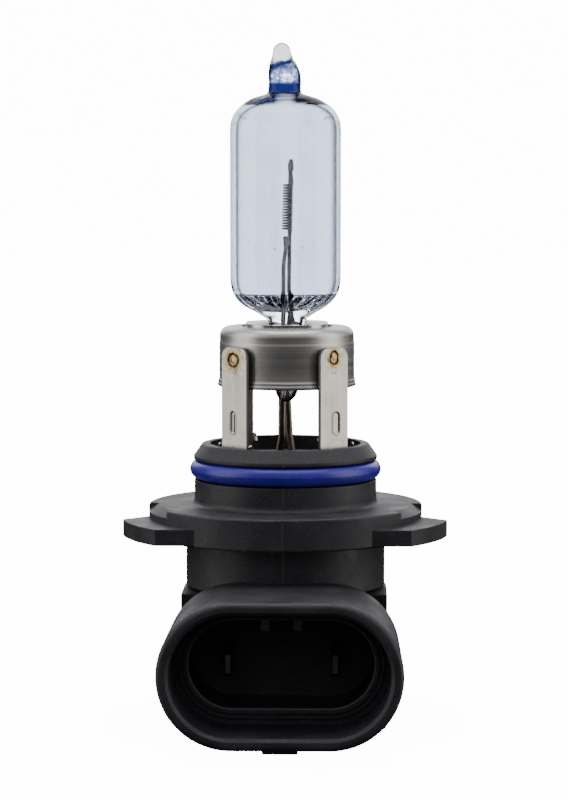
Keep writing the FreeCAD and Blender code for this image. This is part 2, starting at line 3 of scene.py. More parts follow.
import bmesh
import bpy
from mathutils import Matrix, Vector, noise


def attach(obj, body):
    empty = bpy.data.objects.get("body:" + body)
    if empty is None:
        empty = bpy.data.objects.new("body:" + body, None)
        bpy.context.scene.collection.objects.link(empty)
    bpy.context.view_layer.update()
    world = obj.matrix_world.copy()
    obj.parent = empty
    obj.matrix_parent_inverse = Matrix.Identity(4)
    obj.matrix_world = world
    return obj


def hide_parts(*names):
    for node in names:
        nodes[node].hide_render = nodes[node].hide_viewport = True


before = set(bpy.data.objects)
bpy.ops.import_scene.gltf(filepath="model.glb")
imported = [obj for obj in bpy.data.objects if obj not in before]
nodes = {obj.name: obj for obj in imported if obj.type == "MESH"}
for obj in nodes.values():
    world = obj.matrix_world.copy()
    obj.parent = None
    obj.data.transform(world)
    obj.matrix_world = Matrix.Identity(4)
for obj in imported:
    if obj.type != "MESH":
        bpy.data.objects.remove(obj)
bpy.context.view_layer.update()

MM = 0.001

# Sizes are in mm and angles in degrees; heights are above the flange's upper face.
# The glass, the collar and the frame stand this far right of the base's axis.
MOUNT_X = 0.15

# support frame: legs, coined slots, spot welds, foot ring and barbs
LEG_FACE_R = 7.84
LEG_T = 0.42
LEG_W = 3.9
LEG_TOP_Z = 17.1
LEG_FOOT_Z = 4.6
LEG_CORNER = 1.1
LEG_ANGLES = {"front_left": -44.2, "front_right": 40.8, "rear_right": 139.3, "rear_left": -135.7}
SLOT_LOW, SLOT_HIGH, SLOT_HALF = 8.0, 10.35, 0.36
WELD_X = {"front_left": -0.12, "front_right": -0.05, "rear_right": 0.0, "rear_left": 0.1}
WELD_Z = {"front_left": 15.75, "front_right": 16.05, "rear_right": 15.8, "rear_left": 15.7}
WELD_RING_R = 0.66
FAR_FROM_WELD = 9.0
# heights over which the legs turn darker towards the foot
FOOT_DARKENING = (5.0, 7.2)
FOOT_RING = [(6.98, 4.63), (6.98, 4.98), (7.03, 5.02), (7.88, 5.02), (7.93, 4.98), (7.93, 4.63),
             (7.88, 4.60), (7.03, 4.60)]
BARB_ANGLES = {"a": -59.5, "b": -26.4, "c": 64.7, "d": 152.0, "e": -153.0}

# seal ring
SEAL_MAJOR, SEAL_MINOR, SEAL_Z = 9.25, 1.05, 3.75

# key ribs in the socket, and the edge of its oval well, both brightened with painted light
KEY_RIB_X = 1.67
KEY_RIB_HALF = (0.46, 0.54)
KEY_RIB_BOTTOM = (-11.05, -10.95)
KEY_RIB_TOP = (-9.85, -9.75)
KEY_RIB_FRONT = (-18.1, -17.9)
LIT_EDGE_HALF = (0.06, 0.16)
LIT_EDGE_BACK = (-18.2, -18.0)
LIT_EDGE_FRONT = (-18.8, -18.6)
WELL_FLAT = 4.95
WELL_EDGE_R = 4.58
SOCKET_Z = -14.35

# spans over which a tint or a bend of the glass fades in or out, mostly by height
STAIN_FOOT = (42.30, 42.85)
STAIN_GAP = (0.35, 1.2)
STAIN_RIGHT = (-0.2, 1.2)
BLUE_FOOT = (43.45, 43.95)
BLUE_TOP = (44.85, 45.15)
WASH_TOP = (46.2, 46.55)
CLEAR_END = (46.7, 47.05)
SLANT_HALF = (0.12, 0.42)
SHOULDER = (20.8, 22.9)
PINCH_FOOT = (11.5, 13.2)
NAVY_FOOT = (44.6, 45.3)
NAVY_TOP = (46.6, 47.6)
LEFT_TO_RIGHT = (-1.5, 1.5)
WAIST_LINE = (20.3, 20.9)
WAIST_BEND = (20.2, 21.6)
TIP_OUTLINE = (46.6, 47.2)
CROWN_FOOT = (42.4, 42.8)
CROWN_TOP = (43.75, 44.0)
DOME_BEND = (41.9, 42.6)
TIP_BEND = (47.6, 48.2)
FOLD_PAINT_TOP = (22.75, 23.05)
INNER_CROWN = (40.9, 41.9)
FLOOR_BEND = (22.7, 23.2)
QUARTZ_IOR = 1.46
FLOOR_IOR = 1.05

# painted shade where the wall is seen edge-on: share of the colour kept at each side, from face-on (0) to
# edge-on (1)
LEFT_WALL_SHADE = [(0.0, 1.0), (0.43, 0.92), (0.475, 0.36), (0.500, 0.07), (0.525, 0.03), (0.545, 0.20),
             (0.570, 0.86), (0.80, 0.80), (0.93, 0.45), (1.0, 0.10)]
RIGHT_WALL_SHADE = [(0.0, 1.0), (0.42, 0.92), (0.480, 0.42), (0.520, 0.10), (0.582, 0.010), (0.606, 0.12),
              (0.635, 0.80), (0.80, 0.80), (0.93, 0.45), (1.0, 0.10)]

# painted highlights and painted shade on the folds in the cavity's floor, standing in for their
# refraction, from a fold's foot (0) to its crest (1)
FOLD_SHADE_AND_HIGHLIGHT = [(0.0, (0.95, 0.96, 0.98)), (0.06, (0.30, 0.32, 0.36)), (0.14, (0.0060, 0.0064, 0.0084)),
         (0.36, (0.0007, 0.00075, 0.0011)), (0.46, (0.0080, 0.0086, 0.0115)),
         (0.53, (0.90, 0.92, 0.95)), (0.59, (0.0100, 0.0107, 0.0140)),
         (0.70, (0.0006, 0.00065, 0.0010)), (0.86, (0.0090, 0.0096, 0.0130)),
         (0.94, (0.50, 0.52, 0.58)), (1.0, (0.95, 0.96, 0.98))]

# studio: brightness of the paper, its height, its flat radius and the radius of its bend
BACKDROP = 14.0
PAPER_Z, PAPER_R, BEND_R = -23.7, 600.0, 500.0


# --- small helpers --------------------------------------------------------------------
def smooth_step(low, high, x):
    t = min(1.0, max(0.0, (x - low) / (high - low)))
    return t * t * (3 - 2 * t)


def bump_at(x, centre, width):
    return math.exp(-((x - centre) / width) ** 2)


def slope_at(table, j):
    """Slope at one point of a table, held flat at peaks so that the curve never overshoots."""
    if j <= 0 or j >= len(table) - 1:
        k = min(max(j, 1), len(table) - 1)
        return (table[k][1] - table[k - 1][1]) / (table[k][0] - table[k - 1][0])
    a = (table[j][1] - table[j - 1][1]) / (table[j][0] - table[j - 1][0])
    b = (table[j + 1][1] - table[j][1]) / (table[j + 1][0] - table[j][0])
    return 0.0 if a * b <= 0 else 2 * a * b / (a + b)


def curve_at(table, x):
    """Smooth reading of a list of (x, y) points."""
    if x <= table[0][0]:
        return table[0][1]
    for i in range(len(table) - 1):
        (x0, y0), (x1, y1) = table[i], table[i + 1]
        if x <= x1:
            h = x1 - x0
            t = (x - x0) / h
            m0, m1 = slope_at(table, i) * h, slope_at(table, i + 1) * h
            t2, t3 = t * t, t * t * t
            return ((2 * t3 - 3 * t2 + 1) * y0 + (t3 - 2 * t2 + t) * m0
                    + (3 * t2 - 2 * t3) * y1 + (t3 - t2) * m1)
    return table[-1][1]


def spaced(low, high, count):
    return [low + (high - low) * i / (count - 1) for i in range(count)]


def lattice(bm, rows, wrap=True, flip=False):
    """Joins rows of points (mm) into quads; each row closes on itself when wrap is set."""
    made = [[bm.verts.new(Vector(p) * MM) for p in row] for row in rows]
    span = len(rows[0]) if wrap else len(rows[0]) - 1
    for r in range(len(made) - 1):
        for c in range(span):
            d = (c + 1) % len(made[r])
            quad = [made[r][c], made[r][d], made[r + 1][d], made[r + 1][c]]
            bm.faces.new(quad[::-1] if flip else quad)
    return made


def cap(bm, ring, point, flip=False):
    """Closes a ring of vertices with a fan to one point (mm)."""
    middle = bm.verts.new(Vector(point) * MM)
    for c in range(len(ring)):
        tri = [ring[c], ring[(c + 1) % len(ring)], middle]
        bm.faces.new(tri[::-1] if flip else tri)


def cap_flat(bm, ring):
    """Closes a ring of vertices with a fan to its own middle."""
    cap(bm, ring, sum((v.co for v in ring), Vector()) / len(ring) / MM)


def closed_tube(bm, rows):
    """Joins rings of points (mm) into a skin that closes on itself both ways."""
    made = [[bm.verts.new(Vector(p) * MM) for p in row] for row in rows]
    for i, ring in enumerate(made):
        after = made[(i + 1) % len(made)]
        for k in range(len(ring)):
            m = (k + 1) % len(ring)
            bm.faces.new([ring[k], after[k], after[m], ring[m]])


def piece(bm, name, materials, stands_for=(), sharp=None):
    mesh = bpy.data.meshes.new(name)
    bmesh.ops.recalc_face_normals(bm, faces=bm.faces)
    bm.to_mesh(mesh)
    bm.free()
    for face in mesh.polygons:
        face.use_smooth = True
    if sharp is not None:
        mesh.set_sharp_from_angle(angle=math.radians(sharp))
    for material in materials:
        mesh.materials.append(material)
    obj = bpy.data.objects.new(name, mesh)
    bpy.context.scene.collection.objects.link(obj)
    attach(obj, "root")
    if stands_for:
        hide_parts(*stands_for)
    return obj


def point_values(obj, name, values):
    layer = obj.data.attributes.new(name, "FLOAT", "POINT")
    layer.data.foreach_set("value", values)


# --- materials ------------------------------------------------------------------------
class Shade:
    """A short way to write a node tree around one Principled shader."""

    def __init__(self, name):
        self.material = bpy.data.materials.new(name)
        self.material.use_nodes = True
        self.tree = self.material.node_tree
        self.shader = self.tree.nodes["Principled BSDF"]
        self.coords = self.node("ShaderNodeTexCoord").outputs["Object"]

    def node(self, kind, **settings):
        made = self.tree.nodes.new(kind)
        for key, value in settings.items():
            setattr(made, key, value)
        return made

    def link(self, source, target):
        self.tree.links.new(source, target)

    def set(self, **values):
        for key, value in values.items():
            self.shader.inputs[key.replace("_", " ")].default_value = value

    def feed(self, socket, source):
        self.link(source, self.shader.inputs[socket])

    def scaled(self, sx, sy, sz):
        mapping = self.node("ShaderNodeMapping")
        self.link(self.coords, mapping.inputs["Vector"])
        mapping.inputs["Scale"].default_value = (sx, sy, sz)
        return mapping.outputs["Vector"]

    def noise(self, scale, detail=3.0, roughness=0.55, vector=None, distortion=0.0):
        made = self.node("ShaderNodeTexNoise")
        self.link(vector if vector is not None else self.coords, made.inputs["Vector"])
        made.inputs["Scale"].default_value = scale
        made.inputs["Detail"].default_value = detail
        made.inputs["Roughness"].default_value = roughness
        made.inputs["Distortion"].default_value = distortion
        return made.outputs["Fac"]

    def cells(self, scale, vector=None, feature="F1"):
        made = self.node("ShaderNodeTexVoronoi", feature=feature)
        self.link(vector if vector is not None else self.coords, made.inputs["Vector"])
        made.inputs["Scale"].default_value = scale
        return made.outputs["Distance"]

    def ramp(self, source, stops, ease="LINEAR"):
        made = self.node("ShaderNodeValToRGB")
        made.color_ramp.interpolation = ease
        points = made.color_ramp.elements
        while len(points) < len(stops):
            points.new(0.5)
        for point, (place, value) in zip(points, stops):
            point.position = place
            point.color = (value, value, value, 1) if isinstance(value, (int, float)) else (*value, 1)
        self.link(source, made.inputs["Fac"])
        return made.outputs["Color"]

    def math(self, operation, a, b=None, clamp=False):
        made = self.node("ShaderNodeMath", operation=operation, use_clamp=clamp)
        for socket, value in zip(made.inputs, (a, b)):
            if value is None:
                continue
            if isinstance(value, (int, float)):
                socket.default_value = value
            else:
                self.link(value, socket)
        return made.outputs[0]

    def mix(self, factor, a, b, blend="MIX"):
        made = self.node("ShaderNodeMix", data_type="RGBA", blend_type=blend)
        for socket, value in ((made.inputs[0], factor), (made.inputs[6], a), (made.inputs[7], b)):
            if isinstance(value, (int, float)):
                socket.default_value = value
            elif isinstance(value, tuple):
                socket.default_value = (*value, 1)
            else:
                self.link(value, socket)
        return made.outputs[2]

    def axis(self, which):
        made = self.node("ShaderNodeSeparateXYZ")
        self.link(self.coords, made.inputs[0])
        return made.outputs[which]

    def attribute(self, name):
        return self.node("ShaderNodeAttribute", attribute_name=name).outputs["Fac"]

    def band(self, source, low, high, out_low=0.0, out_high=1.0):
        made = self.node("ShaderNodeMapRange", interpolation_type="SMOOTHSTEP")
        self.link(source, made.inputs["Value"])
        made.inputs["From Min"].default_value = low
        made.inputs["From Max"].default_value = high
        made.inputs["To Min"].default_value = out_low
        made.inputs["To Max"].default_value = out_high
        return made.outputs[0]

    def fade(self, source, span, out_low=0.0, out_high=1.0):
        """A band whose ends are given in mm."""
        return self.band(source, span[0] * MM, span[1] * MM, out_low, out_high)

    def relief(self, layers, edge=0.0):
        """Adds bump layers of (height, strength, distance in mm) in turn, over softened edges."""
        normal = None
        if edge:
            softened = self.node("ShaderNodeBevel", samples=6)
            softened.inputs["Radius"].default_value = edge * MM
            normal = softened.outputs["Normal"]
        for height, strength, distance in layers:
            made = self.node("ShaderNodeBump")
            made.inputs["Strength"].default_value = strength
            made.inputs["Distance"].default_value = distance * MM
            self.link(height, made.inputs["Height"])
            if normal is not None:
                self.link(normal, made.inputs["Normal"])
            normal = made.outputs["Normal"]
        self.feed("Normal", normal)


def socket_painted_light(s, base, light):
    """Painted light on the key ribs and on the edge of the oval well that the plug slides into."""
    across = s.math("SUBTRACT", s.math("ABSOLUTE", s.axis("X")), KEY_RIB_X * MM)
    on_rib = s.fade(s.math("ABSOLUTE", across), KEY_RIB_HALF, 1.0, 0.0)
    on_rib = s.math("MULTIPLY", on_rib, s.fade(s.axis("Z"), KEY_RIB_BOTTOM))
    on_rib = s.math("MULTIPLY", on_rib, s.fade(s.axis("Z"), KEY_RIB_TOP, 1.0, 0.0))
    on_rib = s.math("MULTIPLY", on_rib, s.fade(s.axis("Y"), KEY_RIB_FRONT, 1.0, 0.0))
    # painted light: the ribs' faces are lightened
    base = s.mix(on_rib, base, tuple(v * 4.5 for v in light))
    # painted light in a band along the oval well's edge, found from the distance to that edge
    side = s.math("SUBTRACT", s.math("ABSOLUTE", s.axis("X")), WELL_FLAT * MM)
    side = s.math("MAXIMUM", side, 0.0)
    height = s.math("SUBTRACT", s.axis("Z"), SOCKET_Z * MM)
    reach = s.math("ADD", s.math("MULTIPLY", side, side), s.math("MULTIPLY", height, height))
    reach = s.math("ABSOLUTE", s.math("SUBTRACT", s.math("SQRT", reach), WELL_EDGE_R * MM))
    lit_edge = s.fade(reach, LIT_EDGE_HALF, 1.0, 0.0)
    lit_edge = s.math("MULTIPLY", lit_edge, s.fade(s.axis("Y"), LIT_EDGE_BACK, 1.0, 0.0))
    lit_edge = s.math("MULTIPLY", lit_edge, s.fade(s.axis("Y"), LIT_EDGE_FRONT))
    return s.mix(lit_edge, base, tuple(v * 4.0 for v in light))


def plastic(name, dark, light, grain=1.0, rough=(0.42, 0.62), ribs=False):
    s = Shade(name)
    s.set(Specular_IOR_Level=0.42)
    mottle = s.noise(260, 4, 0.6)
    fine = s.noise(4200, 3, 0.6)
    base = s.mix(s.band(mottle, 0.3, 0.7), dark, light)
    speck = s.band(s.noise(6200, 2, 0.5), 0.60, 0.72)
    base = s.mix(s.math("MULTIPLY", speck, 0.60), base, tuple(v * 2.9 for v in light))
    if ribs:
        # painted light on the socket's key ribs and well edge
        base = socket_painted_light(s, base, light)
    scuffs = s.noise(380, 5, 0.7, s.scaled(1.0, 1.0, 7.0), 1.2)
    worn = s.band(scuffs, 0.60, 0.72)
    base = s.mix(s.math("MULTIPLY", worn, 0.30), base, tuple(v * 1.9 for v in light))
    s.feed("Base Color", base)
    s.feed("Roughness", s.math("ADD", s.band(mottle, 0.25, 0.75, *rough), s.math("MULTIPLY", worn, 0.08)))
    s.relief([(mottle, 0.10 * grain, 0.05), (fine, 0.60 * grain, 0.03),
              (s.noise(12000, 2), 0.30 * grain, 0.01)], edge=0.16)
    return s.material


def steel(name, tone, rough=(0.24, 0.36), brush_scale=(30, 30, 5200), brush=0.5, edge=0.07):
    s = Shade(name)
    s.set(Metallic=1.0)
    lines = s.noise(1.0, 4, 0.65, s.scaled(*brush_scale))
    cloud = s.noise(420, 4, 0.6)
    pits = s.band(s.cells(1500), 0.0, 0.09, 1.0, 0.0)
    base = s.mix(s.band(lines, 0.3, 0.7), tuple(v * 0.86 for v in tone), tone)
    base = s.mix(s.band(cloud, 0.35, 0.75, 0.0, 0.35), base,
                 tuple(v * w for v, w in zip(tone, (0.78, 0.74, 0.68))))
    base = s.mix(s.math("MULTIPLY", pits, 0.6), base, (0.12, 0.10, 0.085))
    s.feed("Base Color", base)
    s.feed("Roughness", s.math("ADD", s.band(lines, 0.25, 0.75, *rough),
                               s.band(cloud, 0.4, 0.8, 0.0, 0.07)))
    s.relief([(lines, brush, 0.006), (cloud, 0.12, 0.02), (s.math("SUBTRACT", 1.0, pits), 0.4, 0.01)],
             edge=edge)
    return s


def leg_steel():
    s = steel("frame_steel_strip", (0.56, 0.54, 0.50), (0.27, 0.40), (2600, 2600, 60), 0.35, 0.0)
    heat = s.attribute("warmth")
    ring = s.attribute("ring")
    ragged = s.math("ADD", heat, s.math("MULTIPLY", s.math("SUBTRACT", s.noise(2600, 4), 0.5), 0.5))
    old = s.shader.inputs["Base Color"].links[0].from_socket
    straw = s.mix(s.band(ragged, 0.10, 0.52, 0.0, 0.92), old, (0.46, 0.33, 0.15))
    burnt = s.math("ADD", ring, s.math("MULTIPLY", s.math("SUBTRACT", s.noise(4200, 3), 0.5), 0.7))
    brown = s.mix(s.band(burnt, 0.24, 0.62, 0.0, 0.95), straw, (0.085, 0.046, 0.020))
    # darker towards the foot in patches, and darker along faint streaks
    darkening = s.math("MULTIPLY", s.fade(s.axis("Z"), FOOT_DARKENING, 1.0, 0.0),
                   s.band(s.noise(900, 4), 0.30, 0.62))
    darkening = s.math("ADD", s.math("MULTIPLY", darkening, 0.75),
                   s.band(s.noise(1.0, 4, 0.6, s.scaled(700, 700, 60)), 0.50, 0.74, 0.0, 0.32))
    s.feed("Base Color", s.mix(darkening, brown, (0.16, 0.15, 0.13)))
    return s.material


def rubber():
    s = Shade("seal_rubber_blue")
    cloud = s.noise(300, 4, 0.6)
    base = s.mix(s.band(cloud, 0.3, 0.7), (0.017, 0.009, 0.27), (0.027, 0.014, 0.35))
    # paler blue flecks
    pale_flecks = s.band(s.noise(5200, 2), 0.62, 0.74)
    base = s.mix(s.math("MULTIPLY", pale_flecks, 0.25), base, (0.16, 0.15, 0.62))
    s.feed("Base Color", base)
    s.feed("Roughness", s.band(cloud, 0.3, 0.7, 0.30, 0.44))
    s.set(Specular_IOR_Level=0.5, Coat_Weight=0.15, Coat_Roughness=0.35)
    s.relief([(cloud, 0.15, 0.03), (s.noise(6500, 2), 0.2, 0.008)])
    return s.material


def simple_metal(name, dark, light, scale, stretch=(1, 1, 1), rough=(0.3, 0.5), relief=0.4, metallic=1.0):
    s = Shade(name)
    s.set(Metallic=metallic)
    grain = s.noise(scale, 4, 0.6, s.scaled(*stretch))
    patches = s.noise(700, 3, 0.6)
    base = s.mix(s.band(grain, 0.3, 0.7), dark, light)
    base = s.mix(s.band(patches, 0.45, 0.75, 0.0, 0.5), base, tuple(v * 0.45 for v in dark))
    s.feed("Base Color", base)
    s.feed("Roughness", s.band(grain, 0.3, 0.7, *rough))
    s.relief([(grain, relief, 0.01), (patches, 0.2, 0.02)])
    return s.material


def glass_outside():
    s = Shade("tinted_quartz_outside")
    s.set(Transmission_Weight=1.0, IOR=QUARTZ_IOR, Roughness=0.0)
    z = s.axis("Z")
    streak = s.noise(1.0, 4, 0.6, s.scaled(900, 900, 190), 1.5)
    cloud = s.noise(230, 3, 0.5)
    drawn = s.noise(1.0, 3, 0.6, s.scaled(330, 330, 6))
    # body: pale blue-grey, lighter along faint drawn marks
    body = s.mix(s.band(cloud, 0.3, 0.7), (0.086, 0.101, 0.136), (0.104, 0.118, 0.154))
    body = s.mix(s.band(drawn, 0.42, 0.62, 0.0, 0.75), body, (0.136, 0.146, 0.174))
    # smudges round the crown, darkest on the right
    smudge = s.noise(1.0, 4, 0.6, s.scaled(420, 420, 900), 0.8)
    ring = s.math("MULTIPLY", s.fade(z, STAIN_FOOT), s.band(smudge, 0.28, 0.56))
    ring = s.math("MULTIPLY", ring, s.fade(s.math("ABSOLUTE", s.axis("X")), STAIN_GAP, 0.25, 1.0))
    stain = s.mix(s.fade(s.axis("X"), STAIN_RIGHT), (0.0012, 0.0017, 0.0080), (0.00018, 0.00030, 0.0022))
    base = s.mix(ring, body, stain)
    # blue band on the tip, washed out in patches, with painted glints
    blue = s.fade(z, BLUE_FOOT)
    base = s.mix(blue, base, (0.0010, 0.0020, 0.0155))
    washed = s.math("MULTIPLY", s.fade(z, BLUE_TOP), s.fade(z, WASH_TOP, 1.0, 0.25))
    patchy = s.math("MULTIPLY", washed, s.band(streak, 0.32, 0.48))
    base = s.mix(patchy, base, (0.034, 0.045, 0.092))
    painted_glint = s.band(s.noise(1500, 3, 0.6), 0.56, 0.62)
    base = s.mix(s.math("MULTIPLY", washed, painted_glint), base, (0.20, 0.21, 0.24))
    # clear end of the tip, with one slanting streak
    clear = s.math("ADD", z, s.math("MULTIPLY", s.math("SUBTRACT", streak, 0.5), 1.2 * MM))
    base = s.mix(s.fade(clear, CLEAR_END), base, (0.125, 0.128, 0.138))
    slant = s.math("SUBTRACT", s.math("SUBTRACT", z, 47.05 * MM), s.math("MULTIPLY", s.axis("X"), 0.33))
    slant = s.math("ADD", slant, s.math("MULTIPLY", s.math("SUBTRACT", streak, 0.5), 0.9 * MM))
    slant = s.fade(s.math("ABSOLUTE", slant), SLANT_HALF, 1.0, 0.0)
    base = s.mix(slant, base, (0.0009, 0.0020, 0.012))
    # clear shoulder, and the greyer foot of the pinch
    pinch = s.fade(z, SHOULDER, 1.0, 0.0)
    base = s.mix(pinch, base, (0.31, 0.32, 0.345))
    low = s.fade(z, PINCH_FOOT, 1.0, 0.0)
    base = s.mix(low, base, (0.085, 0.09, 0.11))
    facing = s.node("ShaderNodeLayerWeight")
    facing.inputs["Blend"].default_value = 0.5
    # navy sides of the tip
    navy = s.math("MULTIPLY", s.fade(z, NAVY_FOOT), s.fade(z, NAVY_TOP, 1.0, 0.0))
    navy = s.math("MULTIPLY", navy, s.band(facing.outputs["Facing"], 0.12, 0.42))
    base = s.mix(navy, base, (0.0006, 0.0012, 0.0080))
    # painted shade: the wall seen edge-on gets a dark line inside each side
    left = s.ramp(facing.outputs["Facing"], LEFT_WALL_SHADE)
    right = s.ramp(facing.outputs["Facing"], RIGHT_WALL_SHADE)
    wall_shade = s.mix(s.fade(s.axis("X"), LEFT_TO_RIGHT), left, right)
    base = s.mix(1.0, base, wall_shade, "MULTIPLY")
    # painted shade: dark outlines of the waist and the tip where the glass turns edge-on
    edge = s.math("MULTIPLY", s.band(facing.outputs["Facing"], 0.08, 0.26),
                  s.band(facing.outputs["Facing"], 0.66, 0.80, 1.0, 0.0))
    edge = s.math("MULTIPLY", edge, s.fade(z, WAIST_LINE, 1.0, 0.0))
    base = s.mix(edge, base, (0.00006, 0.00006, 0.00008))
    neck = s.fade(z, WAIST_BEND, 0.24, 0.0)
    outline = s.math("MULTIPLY", s.band(facing.outputs["Facing"], 0.36, 0.62),
                     s.fade(z, TIP_OUTLINE, 0.0, 0.75))
    base = s.mix(outline, base, (0.010, 0.010, 0.014))
    # light bends less at the waist, the dome and the tip, so that the tints show
    crown = s.math("MULTIPLY", s.fade(z, CROWN_FOOT), s.fade(z, CROWN_TOP, 0.13, 0.0))
    top = s.math("MULTIPLY", s.fade(z, DOME_BEND), s.fade(z, TIP_BEND, 0.24, 0.0))
    s.feed("IOR", s.math("SUBTRACT", QUARTZ_IOR, s.math("ADD", s.math("ADD", neck, top), crown)))
    specks = s.band(s.cells(300), 0.040, 0.075, 1.0, 0.0)
    s.feed("Base Color", s.mix(s.math("MULTIPLY", specks, 0.7), base, (0.004, 0.004, 0.006)))
    s.relief([(s.noise(500, 2), 0.06, 0.05), (s.noise(3800, 3), 0.03, 0.01)])
    return s.material


def glass_inside():
    s = Shade("tinted_quartz_inside")
    s.set(Transmission_Weight=1.0, IOR=QUARTZ_IOR, Roughness=0.0)
    facing = s.node("ShaderNodeLayerWeight")
    facing.inputs["Blend"].default_value = 0.5
    # painted shade: the inner wall darkens where it is seen edge-on
    edge = s.ramp(facing.outputs["Facing"],
                  [(0.0, (0.95, 0.96, 0.98)), (0.60, (0.90, 0.92, 0.96)), (0.74, (0.50, 0.52, 0.62)),
                   (0.86, (0.10, 0.10, 0.16)), (1.0, (0.01, 0.01, 0.025))])
    # painted highlights and painted shade on the floor's folds, below the floor's top
    fold_shade_and_highlight = s.ramp(s.attribute("fold"), FOLD_SHADE_AND_HIGHLIGHT)
    low = s.fade(s.axis("Z"), FOLD_PAINT_TOP, 1.0, 0.0)
    floor = s.mix(low, edge, fold_shade_and_highlight)
    crown = s.fade(s.axis("Z"), INNER_CROWN)
    floor = s.mix(crown, floor, (0.90, 0.92, 0.95))
    s.feed("Base Color", floor)
    s.feed("IOR", s.math("SUBTRACT", s.fade(s.axis("Z"), FLOOR_BEND, FLOOR_IOR, QUARTZ_IOR),
                         s.math("MULTIPLY", crown, 0.43)))
    s.relief([(s.noise(620, 2), 0.05, 0.05)])
    return s.material


# --- glass capsule --------------------------------------------------------------------
# outline by height: half widths across and along the pinch, the power that squares the
# pinch's section, and how far the tip leans to the left
HALF_X = [(11.9, 0.95), (12.4, 1.2), (14.0, 1.25), (17.6, 1.4), (19.1, 1.85), (19.9, 2.15),
          (20.6, 3.2), (21.0, 4.0), (21.5, 4.75), (22.2, 5.38), (23.1, 5.78), (24.4, 5.93),
          (39.8, 5.93), (40.7, 5.87), (41.5, 5.62), (42.2, 5.15), (42.8, 4.45), (43.3, 3.62),
          (43.58, 2.85), (43.76, 2.2), (43.9, 1.86), (44.1, 1.77), (45.0, 1.73), (45.9, 1.71),
          (46.8, 1.52), (47.6, 1.15), (48.2, 0.97), (48.6, 0.90), (48.95, 0.70), (49.2, 0.38)]
HALF_Y = [(11.9, 3.9), (12.4, 4.05), (17.6, 4.2), (19.1, 4.3), (19.9, 4.4), (20.6, 4.6),
          (21.0, 4.8), (21.5, 5.05), (22.2, 5.42), (23.1, 5.78), (24.4, 5.93)]
SQUARE = [(11.9, 5.0), (18.4, 5.0), (20.0, 3.2), (21.2, 2.3), (22.4, 2.0)]
LEAN = [(42.6, 0.0), (43.4, 0.10), (46.0, 0.10), (46.8, 0.20), (47.6, 0.38), (48.4, 0.40)]
PINCH_LOW, PINCH_HALF, PINCH_WIDE = 12.4, 1.2, 4.05
CAPSULE_TOP = 49.3
CAPSULE_SIDES = 128

# cavity: its radius by height, and the height of its folded floor by radius
INNER_R = [(22.80, 5.15), (23.0, 5.21), (23.4, 5.23), (39.4, 5.23), (40.4, 5.15), (41.3, 4.80),
           (42.05, 4.10), (42.6, 3.2), (42.95, 2.2), (43.1, 1.2), (43.15, 0.0)]
FLOOR_Z = [(0.0, 20.92), (0.35, 21.12), (0.8, 21.36), (1.4, 21.56), (2.1, 21.72), (2.9, 21.88),
           (3.7, 22.08), (4.5, 22.36), (4.95, 22.58), (5.15, 22.80)]
CAVITY_R, FLOOR_R = 5.23, 5.15
FLOOR_TOP, CAVITY_TOP = 22.85, 43.15
CAVITY_SIDES = 288
PETALS = 27


def capsule_outside(bm):
    levels = spaced(PINCH_LOW, 22.4, 70) + spaced(22.55, 39.6, 50) + spaced(39.8, 49.2, 110)
    turns = [math.tau * i / CAPSULE_SIDES for i in range(CAPSULE_SIDES)]
    rows = []
    for z in levels:
        a = curve_at(HALF_X, z)
        b = curve_at(HALF_Y, z) if z < 24.4 else a
        power = 2 / curve_at(SQUARE, z)
        lean = -curve_at(LEAN, z)
        shift = MOUNT_X * (1 - smooth_step(19.5, 22.0, z))
        tip_foot, tip_end = smooth_step(44.0, 45.0, z), 1 - smooth_step(48.0, 48.8, z)
        row = []
        for phi in turns:
            c, s = math.cos(phi), math.sin(phi)
            x = a * math.copysign(abs(c) ** power, c)
            y = b * math.copysign(abs(s) ** power, s)
            # fire-polished unevenness on the waist, and draw marks up the tip
            wave = 0.05 * bump_at(z, 20.6, 1.3) * math.sin(9 * phi + 1.1 * z)
            wave += 0.035 * tip_foot * tip_end * math.sin(5 * phi + 2.4 * z)
            grow = 1 + wave / max(math.hypot(x, y), 0.3)
            row.append((x * grow + lean + shift, y * grow, z))
        rows.append(row)
    made = lattice(bm, rows)
    cap(bm, made[-1], (-0.40, 0, CAPSULE_TOP))
    # rounded lower end of the pinch
    rings = [made[0]]
    for k in range(1, 9):
        t = math.radians(90 * k / 8.5)
        z = PINCH_LOW - PINCH_HALF * math.sin(t)
        ring = []
        for phi in turns:
            c, s = math.cos(phi), math.sin(phi)
            x = PINCH_HALF * math.cos(t) * math.copysign(abs(c) ** 0.4, c)
            y = (PINCH_WIDE - 0.55 * (1 - math.cos(t))) * math.copysign(abs(s) ** 0.4, s)
            ring.append(bm.verts.new(Vector((x + MOUNT_X, y, z)) * MM))
        rings.append(ring)
    for above, below in zip(rings, rings[1:]):
        for c in range(CAPSULE_SIDES):
            d = (c + 1) % CAPSULE_SIDES
            bm.faces.new([above[c], below[c], below[d], above[d]])
    cap(bm, rings[-1], (MOUNT_X, 0, PINCH_LOW - PINCH_HALF))


def petal_fold(radius, phi):
    """Curved folds in the cavity floor, drawn together where the leads come through."""
    swirl = phi + 0.10 * math.sin(2 * phi + 0.7) * (radius / 5.0) ** 1.5
    fade = smooth_step(0.10, 0.5, radius) * (1 - smooth_step(4.9, 5.15, radius))
    ridge = math.sin(PETALS * swirl + 1.2 * math.sin(3 * phi))
    second = math.sin((PETALS + 16) * swirl + 0.5 * radius + 2.0 * math.sin(2 * phi))
    return fade, 0.65 * ridge + 0.35 * second


